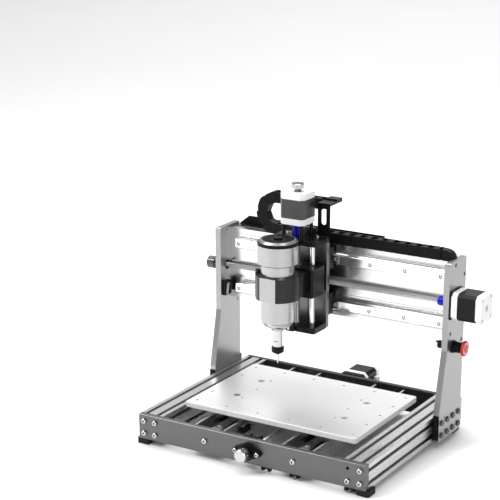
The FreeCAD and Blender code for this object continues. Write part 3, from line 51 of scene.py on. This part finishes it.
# ---------------------------------------------------------------- node helpers
class Shader:
    """A material with short names for the nodes that the finishes below share."""

    def __init__(self, name, color, metallic=0.0, roughness=0.5):
        self.mat = bpy.data.materials.new(name)
        self.mat.use_nodes = True
        self.tree = self.mat.node_tree
        self.bsdf = self.tree.nodes["Principled BSDF"]
        self.bsdf.inputs["Base Color"].default_value = (*color, 1.0)
        self.bsdf.inputs["Metallic"].default_value = metallic
        self.bsdf.inputs["Roughness"].default_value = roughness
        coordinates = self.node("ShaderNodeTexCoord")
        self.place = coordinates.outputs["Object"]
        self.normal = coordinates.outputs["Normal"]

    def node(self, kind, **settings):
        n = self.tree.nodes.new(kind)
        for key, value in settings.items():
            setattr(n, key, value)
        return n

    def link(self, output, socket):
        self.tree.links.new(output, socket)

    def put(self, value, socket):
        """Give a socket a constant, or another node's output."""
        if isinstance(value, bpy.types.NodeSocket):
            self.link(value, socket)
        else:
            socket.default_value = value

    def noise(self, scale, detail=3.0, stretch=(1, 1, 1)):
        mapping = self.node("ShaderNodeMapping")
        mapping.inputs["Scale"].default_value = stretch
        self.link(self.place, mapping.inputs["Vector"])
        n = self.node("ShaderNodeTexNoise")
        n.inputs["Scale"].default_value = scale
        n.inputs["Detail"].default_value = detail
        self.link(mapping.outputs["Vector"], n.inputs["Vector"])
        return n.outputs["Fac"]

    def math(self, operation, *values):
        n = self.node("ShaderNodeMath", operation=operation)
        for socket, value in zip(n.inputs, values):
            self.put(value, socket)
        return n.outputs[0]

    def remap(self, value, start, stop, low=0.0, high=1.0, **settings):
        """Carry start..stop to low..high."""
        n = self.node("ShaderNodeMapRange", **settings)
        limits = {"From Min": start, "From Max": stop, "To Min": low, "To Max": high}
        for key, limit in limits.items():
            n.inputs[key].default_value = limit
        self.link(value, n.inputs["Value"])
        return n.outputs["Result"]

    def separate(self, vector):
        n = self.node("ShaderNodeSeparateXYZ")
        self.link(vector, n.inputs[0])
        return n.outputs

    def xyz(self):
        return self.separate(self.place)

    def angle(self, centre, along):
        """Angle in radians round an axis through centre."""
        xyz = self.xyz()
        first, second = [k for k in range(3) if k != along]
        a = self.math("SUBTRACT", xyz[first], centre[first])
        b = self.math("SUBTRACT", xyz[second], centre[second])
        return self.math("ARCTAN2", b, a)

    def recolor(self, factor, first, second, **settings):
        """Mix two colours into the base colour."""
        n = self.node("ShaderNodeMix", data_type="RGBA", **settings)
        self.put(factor, n.inputs[MIX_FACTOR])
        self.put(first, n.inputs[MIX_A])
        self.put(second, n.inputs[MIX_B])
        self.color = n.outputs[MIX_RESULT]
        self.link(self.color, self.bsdf.inputs["Base Color"])

    def tint(self, value, dark, light):
        self.recolor(value, (*dark, 1.0), (*light, 1.0))

    def cloud(self, scale, darker, lighter, color, detail=3.0):
        """Faint patches a little darker and lighter than the colour."""
        patches = self.noise(scale, detail)
        self.tint(patches, scale_color(color, darker), scale_color(color, lighter))

    def paint(self, mask, color):
        """Lay a second colour over the tinted one where the mask is 1."""
        self.recolor(mask, self.color, (*color, 1.0))

    def paint_crease_shade(self, distance, floor=0.12):
        """Paint shade into sockets, holes and inner corners, where ambient occlusion finds them."""
        occlusion = self.node("ShaderNodeAmbientOcclusion", samples=8)
        occlusion.inputs["Distance"].default_value = distance
        shade = self.remap(occlusion.outputs["AO"], 0.25, 0.9, low=floor)
        self.recolor(1.0, self.color, shade, blend_type="MULTIPLY")

    def vary_roughness(self, value, low, high):
        roughness = self.remap(value, NOISE_LOW, NOISE_HIGH, low, high)
        self.link(roughness, self.bsdf.inputs["Roughness"])

    def bump(self, height, strength, distance):
        n = self.node("ShaderNodeBump")
        n.inputs["Strength"].default_value = strength
        n.inputs["Distance"].default_value = distance
        self.link(height, n.inputs["Height"])
        self.link(n.outputs["Normal"], self.bsdf.inputs["Normal"])


def grey(value):
    """A neutral colour, very slightly cool."""
    return (value, value, value * 1.01)


def scale_color(color, k):
    return tuple(min(c * k, 1.0) for c in color)


# ---------------------------------------------------------------- finishes
GRAIN = {"x": (0.02, 1, 1), "y": (1, 0.02, 1), "z": (1, 1, 0.02)}
BRUSH_LINES = 1500.0
BED_CELL, BED_LINE, BED_ENGRAVING = 10.0 * MM, 0.05, 0.30
STOP_RING_R, STOP_RING_HALF = 8.0 * MM, 1.4 * MM


def brushed(name, color, along, roughness):
    """Machined or extruded aluminium with fine lines running along one axis."""
    s = Shader(name, color, metallic=1.0, roughness=roughness)
    lines = s.noise(BRUSH_LINES, stretch=GRAIN[along])
    s.cloud(9.0, 0.94, 1.05, color, detail=2.0)
    s.vary_roughness(lines, roughness - 0.03, roughness + 0.05)
    s.bump(lines, 0.03, 0.05 * MM)
    return s


def anodised(name, color, roughness, metallic, specular=0.5):
    """Bead-blasted, anodised plate: matt with a very fine speckle."""
    s = Shader(name, color, metallic=metallic, roughness=roughness)
    s.bsdf.inputs["Specular IOR Level"].default_value = specular
    speckle = s.noise(2600.0, detail=2.0)
    s.cloud(7.0, 0.92, 1.08, color)
    s.vary_roughness(speckle, roughness - 0.04, roughness + 0.06)
    s.bump(speckle, 0.06, 0.04 * MM)
    return s


def moulded(name, color, roughness, grain=1400.0, specular=0.3):
    """Moulded plastic with a fine eroded texture."""
    s = Shader(name, color, roughness=roughness)
    s.bsdf.inputs["Specular IOR Level"].default_value = specular
    texture = s.noise(grain)
    s.cloud(12.0, 0.9, 1.1, color, detail=2.0)
    s.vary_roughness(texture, roughness - 0.06, roughness + 0.1)
    s.bump(texture, 0.15, 0.06 * MM)
    return s


def turned(name, color, roughness, painted_shade_depth=0.0, upright=False):
    """Lathe-turned metal with faint rings.

    When given, the socket depth is how far shade is painted into sockets, holes and inner corners.
    A piece on an upright axis also reflects along its turning marks.
    """
    s = Shader(name, color, metallic=1.0, roughness=roughness)
    if upright:
        s.bsdf.inputs["Anisotropic"].default_value = 0.6
        tangent = s.node("ShaderNodeTangent", direction_type="RADIAL", axis="Z")
        s.link(tangent.outputs["Tangent"], s.bsdf.inputs["Tangent"])
    rings = s.noise(1800.0, detail=2.0, stretch=(0.05, 0.05, 1))
    s.vary_roughness(rings, roughness - 0.03, roughness + 0.05)
    s.bump(rings, 0.04, 0.03 * MM)
    s.cloud(15.0, 0.94, 1.05, color)
    # painted shade in sockets, holes and inner corners
    if painted_shade_depth:
        s.paint_crease_shade(painted_shade_depth)
    return s


def laminated(name, color):
    """Motor body: a stack of thin steel sheets under a thin dark varnish."""
    s = Shader(name, color, metallic=0.9, roughness=0.3)
    sheets = s.noise(1500.0, detail=1.0, stretch=(0.03, 0.03, 1))
    s.tint(sheets, scale_color(color, 0.8), scale_color(color, 1.2))
    s.vary_roughness(sheets, 0.26, 0.36)
    s.bump(sheets, 0.08, 0.05 * MM)
    return s


def lead_thread(name, axis, centre, pitch=2 * MM):
    """Rolled screw thread: a helical ridge drawn by bump round one axis, with painted shade in its
    roots and a painted highlight on its crests.
    """
    s = Shader(name, (0.62, 0.62, 0.63), metallic=1.0, roughness=0.28)
    along = AXES.index(axis)
    turn = s.math("DIVIDE", s.angle(centre, along), 2 * math.pi)
    advance = s.math("DIVIDE", s.xyz()[along], pitch)
    wave = s.math("PINGPONG", s.math("ADD", advance, turn), 0.5)
    ridge = s.math("MULTIPLY", wave, 2.0)
    # painted shade in the thread roots and painted highlight on the crests
    s.tint(ridge, grey(0.48), grey(0.90))
    s.bump(ridge, 0.9, 0.5 * MM)
    return s


def engraved_bed(name):
    """Bed plate: fine lines and a faint engraved grid; its upright edges are less metallic."""
    s = Shader(name, grey(0.8), metallic=0.75, roughness=0.34)
    lines = s.noise(BRUSH_LINES, detail=4.0, stretch=GRAIN["x"])
    s.vary_roughness(lines, 0.32, 0.42)
    xyz = s.xyz()
    marks = []
    for k in (0, 1):
        cycle = s.math("FRACT", s.math("DIVIDE", xyz[k], BED_CELL))
        marks.append(s.math("LESS_THAN", cycle, BED_LINE))
    grid = s.math("MULTIPLY", s.math("MAXIMUM", *marks), BED_ENGRAVING)
    s.tint(grid, grey(0.84), grey(0.35))
    s.bump(lines, 0.05, 0.05 * MM)
    # painted shade in the bed's slots, holes and inner corners
    s.paint_crease_shade(3.0 * MM, floor=0.2)
    level = s.math("ABSOLUTE", s.separate(s.normal)[2])
    flat = s.remap(level, 0.8, 0.98, interpolation_type="SMOOTHSTEP")
    metallic = s.math("ADD", 0.1, s.math("MULTIPLY", flat, 0.65))
    s.link(metallic, s.bsdf.inputs["Metallic"])
    return s


def clamp_painted_reflection(name):
    """Black anodised clamp with a painted reflection: its front flat drawn light grey."""
    s = anodised(name, grey(0.02), 0.3, 0.5)
    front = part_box("spindle_clamp")[0].y
    flat = s.math("LESS_THAN", s.xyz()[1], front + 0.1 * MM)
    # painted reflection: the front flat is drawn light grey over the black
    s.paint(flat, grey(0.48))
    return s


def blue_anodised(name):
    s = Shader(name, (0.006, 0.008, 0.42), metallic=0.6, roughness=0.25)
    s.tint(s.noise(60.0), (0.004, 0.006, 0.34), (0.010, 0.014, 0.52))
    s.bump(s.noise(1500.0), 0.05, 0.03 * MM)
    return s


def stop_red(name, centre):
    """Red plastic of the stop button with a pale ring round its X axis, a painted highlight where
    the head curves.
    """
    s = Shader(name, (0.5, 0.006, 0.010), roughness=0.25)
    s.tint(s.noise(30.0), (0.42, 0.004, 0.007), (0.52, 0.006, 0.010))
    offsets = [s.math("SUBTRACT", s.xyz()[k], centre[k]) for k in (1, 2)]
    reach = s.math("SQRT", s.math("ADD", *[s.math("MULTIPLY", d, d) for d in offsets]))
    away = s.math("ABSOLUTE", s.math("SUBTRACT", reach, STOP_RING_R))
    # painted highlight: a pale ring on the red head
    s.paint(s.math("LESS_THAN", away, STOP_RING_HALF), (0.85, 0.42, 0.42))
    s.bump(s.noise(900.0), 0.05, 0.05 * MM)
    return s


# ---------------------------------------------------------------- which finish goes where
def box_centre(node):
    low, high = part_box(node)
    return (low + high) / 2


def dress(finish, *names):
    for name in names:
        for slot in NODES[name].material_slots:
            slot.material = finish.mat


def dress_plates():
    # The front plate, uprights and rear plate are one anodised grey drawn at three brightnesses:
    # lighter and darker copies that paint in how light falls on each.
    dress(anodised("grey_front", grey(0.14), 0.34, 0.9), "front_plate")
    dress(anodised("grey_uprights", grey(0.38), 0.3, 0.9), "upright_left", "upright_right")
    dress(anodised("grey_back_plate", grey(0.16), 0.26, 0.9), "carriage_plate")
    dress(anodised("dark_rear", grey(0.03), 0.4, 0.5), "rear_plate")
    dress(anodised("black_anodised", grey(0.008), 0.34, 0.4, specular=0.25),
          "screw_bearings", "carriage_blocks", "x_nut", "y_nut", "z_frame", "chain_bracket",
          "slide_block", "collet_nut")
    dress(clamp_painted_reflection("clamp_painted_reflection"), "spindle_clamp")
    dress(engraved_bed("bed_face"), "bed_plate")


def dress_metal():
    profiles = brushed("extrusion_y", grey(0.62), "y", 0.28)
    # painted shade in the profiles' slots and inner corners
    profiles.paint_crease_shade(5 * MM, floor=0.5)
    dress(profiles, "side_profiles", "support_channels")
    dress(brushed("extrusion_x", grey(0.80), "x", 0.20), "gantry_beam")
    dress(brushed("ground_x", grey(0.88), "x", 0.14), "beam_rails")
    dress(brushed("ground_y", grey(0.70), "y", 0.2), "bed_rails", "bed_blocks")
    # The rail, carriage, plate and upright screws are one steel drawn in three greys, lighter and
    # darker copies that paint in how light falls on them; each also gets shade painted into its
    # socket.
    dress(turned("bright_screws", grey(0.80), 0.24, painted_shade_depth=1.6 * MM),
          "rail_screws", "carriage_screws")
    dress(turned("plate_screw_metal", grey(0.50), 0.24, painted_shade_depth=3.0 * MM), "plate_screws")
    dress(turned("dark_screws", grey(0.16), 0.2, painted_shade_depth=2.5 * MM), "upright_screws")
    dress(turned("spindle_silver", grey(0.46), 0.24, upright=True), "spindle_nose", "spindle_can")
    # The X knob is drawn far darker than the Y and Z knobs: painted shade on a knob made like the
    # others.
    dress(turned("knob_metal", grey(0.55), 0.12), "y_knob")
    dress(turned("knob_painted_shade", grey(0.10), 0.2), "x_knob")
    dress(turned("knob_chrome", grey(0.55), 0.08, upright=True), "z_knob")
    dress(turned("polished_steel", grey(0.75), 0.12), "z_rods", "cutter")
    dress(turned("shaft_steel", grey(0.60), 0.2, upright=True), "spindle_shaft")
    dress(turned("bronze", (0.30, 0.25, 0.19), 0.35), "z_bushings")
    dress(turned("spring_steel", grey(0.5), 0.3),
          "x_limit_lever", "y_limit_lever", "z_limit_lever")
    dress(laminated("motor_steel", grey(0.075)), "z_motor_body")
    dress(laminated("motor_black", grey(0.018)), "fixed_motor_bodies")
    for axis in AXES:
        node = axis + "_lead_screw"
        dress(lead_thread("thread_" + axis, axis, box_centre(node)), node)


def chain_links(node, material):
    """Links of a straight chain run: a copy of its mesh in the given material, standing in for the
    hidden run.
    """
    source = NODES[node]
    mesh = source.data.copy()
    mesh.materials.clear()
    mesh.materials.append(material)
    links = bpy.data.objects.new(node + "_links", mesh)
    links.matrix_world = source.matrix_world.copy()
    bpy.context.scene.collection.objects.link(links)
    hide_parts(node)
    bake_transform(links)


def dress_plastic():
    dress(moulded("rubber", grey(0.008), 0.7, grain=900.0), "rubber_feet")
    black = moulded("black_plastic", grey(0.004), 0.45, specular=0.16)
    dress(black, "black_trim", "limit_switches", "z_limit_switch", "estop_housing",
          "estop_plunger", "motor_spacers", "chain_guide", "chain_bend_low",
          "chain_bend_high", "spindle_ring")
    chain_links("chain_run_low", black.mat)
    chain_links("chain_run_high", black.mat)
    caps = moulded("white_cast", grey(0.88), 0.4, grain=700.0, specular=0.5)
    # painted shade in the caps' holes and inner corners
    caps.paint_crease_shade(3.0 * MM, floor=0.3)
    dress(caps, "fixed_motor_caps", "z_motor_caps")
    dress(blue_anodised("blue_anodised"), "x_coupling", "z_coupling")
    dress(stop_red("stop_red", box_centre("estop_head")), "estop_head")


# ---------------------------------------------------------------- softened edges of the CAD nodes
EDGE_SEGMENTS = 2
EDGE_ANGLE = math.radians(50)
EDGE_WIDTHS_MM = {
    0.3: ("bed_plate", "fixed_motor_bodies", "z_motor_body"),
    0.35: ("front_plate", "rear_plate"),
    0.4: ("carriage_plate", "z_frame"),
    0.5: ("upright_left", "upright_right", "slide_block", "spindle_clamp",
          "fixed_motor_caps", "z_motor_caps"),
}


def soften_edges():
    for width, names in EDGE_WIDTHS_MM.items():
        for name in names:
            bevel = NODES[name].modifiers.new("edge", "BEVEL")
            bevel.width = width * MM
            bevel.segments = EDGE_SEGMENTS
            bevel.limit_method = "ANGLE"
            bevel.angle_limit = EDGE_ANGLE


# ---------------------------------------------------------------- stage, light and camera
FLOOR_HALF = 6.0
WORLD_STRENGTH = 0.42
MIDDLE = (0.0, 0.0, 0.15)

# name, place, target, size in metres, power in watts
LIGHTS = (
    ("key", (-1.5, -1.3, 2.0), MIDDLE, (1.2, 1.2), 42.0),
    ("top", (-0.3, 0.4, 2.3), (-0.2, 0.2, 0.0), (2.2, 2.2), 46.0),
    ("fill", (2.0, -1.6, 0.9), MIDDLE, (1.0, 1.4), 14.0),
    ("back", (-1.6, 5.0, 4.0), (-1.6, 5.0, 0.0), (6.0, 6.0), 170.0),
)

CAMERA_PLACE = (1.13053, -2.01399, 0.93826)
CAMERA_PITCH, CAMERA_YAW, CAMERA_ROLL = 19.52, 30.604, 0.21
CAMERA_LENS, CAMERA_SENSOR = 113.508, 36.0
CAMERA_SHIFT_X, CAMERA_SHIFT_Y = -0.0646, 0.222
CAMERA_REACH = 50.0


def make_floor():
    mesh = bpy.data.meshes.new("floor")
    corners = [(x * FLOOR_HALF, y * FLOOR_HALF, 0) for x, y in ((-1, -1), (1, -1), (1, 1), (-1, 1))]
    mesh.from_pydata(corners, [], [(0, 1, 2, 3)])
    floor = bpy.data.objects.new("floor", mesh)
    bpy.context.scene.collection.objects.link(floor)
    s = Shader("pale_floor", (0.93, 0.93, 0.93), roughness=0.6)
    s.vary_roughness(s.noise(3.0), 0.55, 0.65)
    mesh.materials.append(s.mat)


def area_light(name, place, target, size, power):
    data = bpy.data.lights.new(name, "AREA")
    data.shape = "RECTANGLE"
    data.size, data.size_y = size
    data.energy = power
    light = bpy.data.objects.new(name, data)
    light.location = place
    light.rotation_euler = (Vector(target) - Vector(place)).to_track_quat("-Z", "Y").to_euler()
    bpy.context.scene.collection.objects.link(light)


def make_light():
    world = bpy.data.worlds.new("studio")
    world.use_nodes = True
    background = world.node_tree.nodes["Background"]
    background.inputs["Color"].default_value = (1.0, 1.0, 1.0, 1.0)
    background.inputs["Strength"].default_value = WORLD_STRENGTH
    bpy.context.scene.world = world
    for light in LIGHTS:
        area_light(*light)


def make_camera():
    data = bpy.data.cameras.new("camera")
    data.sensor_width = CAMERA_SENSOR
    data.lens = CAMERA_LENS
    data.shift_x = CAMERA_SHIFT_X
    data.shift_y = CAMERA_SHIFT_Y
    data.clip_end = CAMERA_REACH
    camera = bpy.data.objects.new("camera", data)
    camera.location = CAMERA_PLACE
    pitch, yaw, roll = [math.radians(d) for d in (90.0 - CAMERA_PITCH, CAMERA_YAW, CAMERA_ROLL)]
    aim = Euler((pitch, 0.0, yaw)).to_matrix() @ Euler((0.0, 0.0, roll)).to_matrix()
    camera.rotation_euler = aim.to_euler()
    bpy.context.scene.collection.objects.link(camera)
    bpy.context.scene.camera = camera


def make_tone():
    view = bpy.context.scene.view_settings
    view.view_transform = "Standard"
    view.look = "None"
    view.exposure = 0.0


dress_plates()
dress_metal()
dress_plastic()
soften_edges()
make_floor()
make_light()
make_camera()
make_tone()
